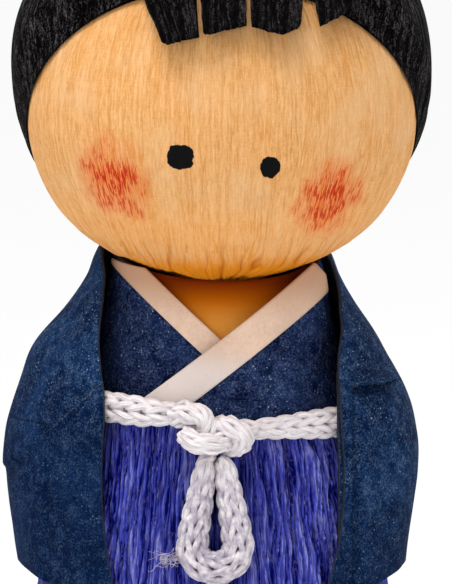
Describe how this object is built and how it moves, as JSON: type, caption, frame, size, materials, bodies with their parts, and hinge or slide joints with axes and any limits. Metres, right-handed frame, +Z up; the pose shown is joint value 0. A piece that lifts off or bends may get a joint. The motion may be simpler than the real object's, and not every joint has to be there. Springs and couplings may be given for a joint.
{
  "type": "japanese paper doll",
  "caption": "Standing paper doll: crepe ball head turning on a neck peg, washi kimono, pleated hakama tied with a knitted cord bow, open haori jacket.",
  "frame": {"origin": "middle of the base disc's underside, on the table", "axes": "+Z up, the doll faces -Y, +X is on the viewer's right"},
  "size_m": [0.0537, 0.0508, 0.1004],
  "materials": {
    "card": "matte rolled card",
    "wadding": "soft cotton wadding",
    "bamboo": "plain bamboo",
    "chest_paper": "smooth matte paper",
    "kimono_washi": "matte washi with pale flecks",
    "collar_paper": "smooth matte off-white paper",
    "hakama_crepe": "vertically crinkled crepe paper",
    "knit_cord": "white knitted tubular cord with a silky sheen",
    "haori_washi": "matte washi with pale flecks and fibres",
    "skin_crepe": "fine crepe paper with meridian wrinkles",
    "thread": "cotton thread",
    "hair_crepe": "black crepe paper"
  },
  "bodies": {
    "body": {"base_disc": "card", "body_tube": "card", "body_wadding": "wadding", "neck_socket": "card", "chest_paper": "chest_paper", "kimono_back": "kimono_washi", "kimono_under": "kimono_washi", "kimono_over": "kimono_washi", "collar_under": "collar_paper", "collar_over": "collar_paper", "hakama": "hakama_crepe", "belt_cord": "knit_cord", "bow_knot": "knit_cord", "haori_body": "haori_washi", "sleeve_left": "haori_washi", "sleeve_right": "haori_washi"},
    "head": {"head_core": "wadding", "face_skin": "skin_crepe", "neck_thread": "thread", "neck_peg": "bamboo", "hair_cap": "hair_crepe", "fringe": "hair_crepe"},
    "bow_loop": {"bow_loop": "knit_cord"}
  },
  "joints": [
    {"name": "head_turn", "type": "hinge", "parent": "body", "child": "head", "pos_m": [0.00125, -0.004, 0.0518], "axis": [0, 0, 1], "range_deg": [-40, 40]},
    {"name": "bow_loop_lift", "type": "hinge", "parent": "body", "child": "bow_loop", "pos_m": [0.0004, -0.01921, 0.02962], "axis": [-1, 0, 0], "range_deg": [0, 75]}
  ]
}
